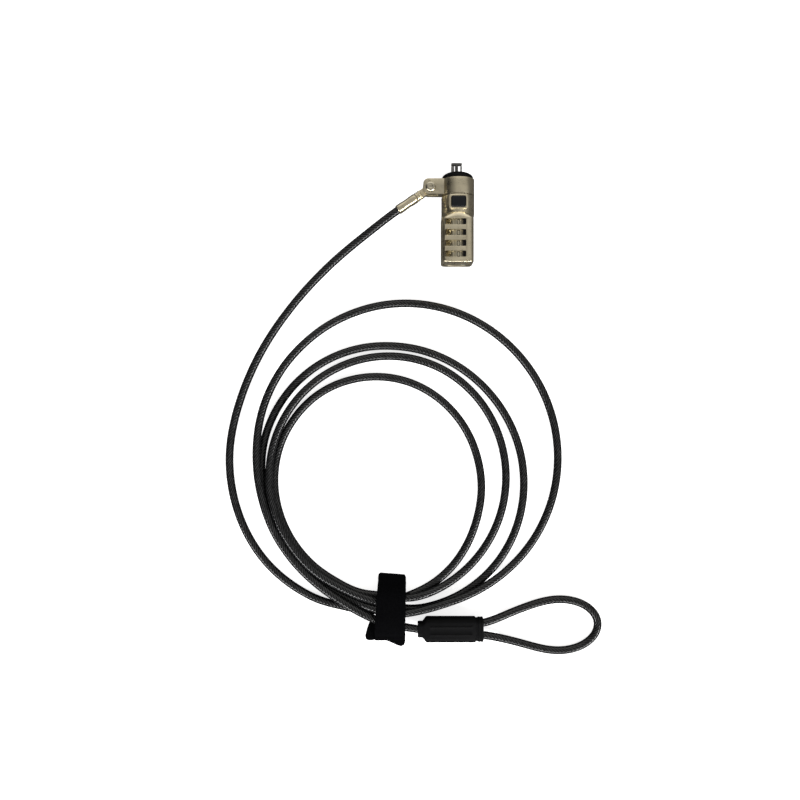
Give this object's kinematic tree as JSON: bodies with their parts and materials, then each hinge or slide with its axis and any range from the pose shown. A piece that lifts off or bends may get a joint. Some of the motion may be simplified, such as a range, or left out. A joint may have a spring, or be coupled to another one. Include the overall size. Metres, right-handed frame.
{
  "type": "laptop cable lock",
  "caption": "Combination lock head with a T-bar nose and push button on a swivelling collar, with a coiled jacketed steel cable ending in an eye loop and held by a hook-and-loop tie.",
  "frame": {"origin": "on the lock head's flat back face, under the axis of its neck and midway along its block", "axes": "+Y along the head towards the T-bar nose, +Z out of the head's front with the number windows and button, +X to the right seen from the front, away from the cable's clevis"},
  "size_m": [0.188, 0.2431, 0.0173],
  "materials": {
    "satin_nickel": "satin nickel plating on die-cast zinc, slightly warm",
    "wheel_metal": "satin plated wheels with black filled numbers",
    "steel": "machined steel",
    "brass": "machined brass",
    "dark_steel": "black oxide spring steel",
    "black_plastic": "moulded black plastic, matt",
    "button_plastic": "glossy black plastic",
    "cable_jacket": "smooth smoked jacket over twisted dark steel strands",
    "strap_pile": "black hook-and-loop pile"
  },
  "bodies": {
    "cable": {"cable_eye_end": "satin_nickel", "crimp_sleeve": "satin_nickel", "cable_lead": "cable_jacket", "cable_coil": "cable_jacket", "cable_tail": "cable_jacket", "cable_loop": "cable_jacket", "loop_ferrule": "steel", "loop_cover": "black_plastic", "strap": "strap_pile"},
    "collar": {"swivel_collar": "satin_nickel", "pivot_rivet": "satin_nickel"},
    "lock_head": {"dial_housing": "satin_nickel", "base_cap": "satin_nickel", "divider_plate": "steel", "detent_spring": "dark_steel", "spindle_bush": "brass", "nose_insert": "steel", "bumper_cap": "black_plastic", "button_spring": "steel", "shaft_spring": "steel"},
    "wheel_1": {"number_wheel_1": "wheel_metal", "code_sleeve_1": "brass"},
    "wheel_2": {"number_wheel_2": "wheel_metal", "code_sleeve_2": "brass"},
    "wheel_3": {"number_wheel_3": "wheel_metal", "code_sleeve_3": "brass"},
    "wheel_4": {"number_wheel_4": "wheel_metal", "code_sleeve_4": "brass"},
    "shaft": {"control_shaft": "steel"},
    "button": {"button": "button_plastic"},
    "t_bar": {"t_bar_spindle": "steel"},
    "code_screw": {"reset_screw": "steel"}
  },
  "joints": [
    {"name": "cable_pivot", "type": "hinge", "parent": "cable", "child": "collar", "pos_m": [-0.01365, 0.02585, 0.0081], "axis": [0, 0, 1], "range_deg": [-55, 120]},
    {"name": "collar_swivel", "type": "hinge", "parent": "collar", "child": "lock_head", "pos_m": [0, 0.02585, 0.0081], "axis": [0, 1, 0], "continuous": true},
    {"name": "wheel_1_turn", "type": "hinge", "parent": "lock_head", "child": "wheel_1", "pos_m": [-0.0008, 0.0078, 0.0094], "axis": [0, 1, 0], "continuous": true},
    {"name": "wheel_2_turn", "type": "hinge", "parent": "lock_head", "child": "wheel_2", "pos_m": [-0.0008, 0.0026, 0.0094], "axis": [0, 1, 0], "continuous": true},
    {"name": "wheel_3_turn", "type": "hinge", "parent": "lock_head", "child": "wheel_3", "pos_m": [-0.0008, -0.0026, 0.0094], "axis": [0, 1, 0], "continuous": true},
    {"name": "wheel_4_turn", "type": "hinge", "parent": "lock_head", "child": "wheel_4", "pos_m": [-0.0008, -0.0078, 0.0094], "axis": [0, 1, 0], "continuous": true},
    {"name": "button_press", "type": "slide", "parent": "lock_head", "child": "button", "axis": [0, 0, -1], "range_m": [0, 0.002], "stiffness_N_per_m": 800, "springref_m": -0.002, "deforming": ["button_spring"]},
    {"name": "t_bar_turn", "type": "hinge", "parent": "lock_head", "child": "t_bar", "pos_m": [-0.0008, 0.026, 0.0094], "axis": [0, 1, 0], "range_deg": [0, 90]},
    {"name": "shaft_shift", "type": "slide", "parent": "lock_head", "child": "shaft", "axis": [0, -1, 0], "range_m": [0, 0.002], "deforming": ["shaft_spring"]},
    {"name": "reset_turn", "type": "hinge", "parent": "lock_head", "child": "code_screw", "pos_m": [0.0026, -0.011, 0.0074], "axis": [0, 1, 0], "range_deg": [0, 90]}
  ],
  "couplings": [
    {"joint": "t_bar_turn", "follows": "button_press", "rad_per_m": 785.3},
    {"joint": "shaft_shift", "follows": "button_press", "ratio": 1}
  ]
}
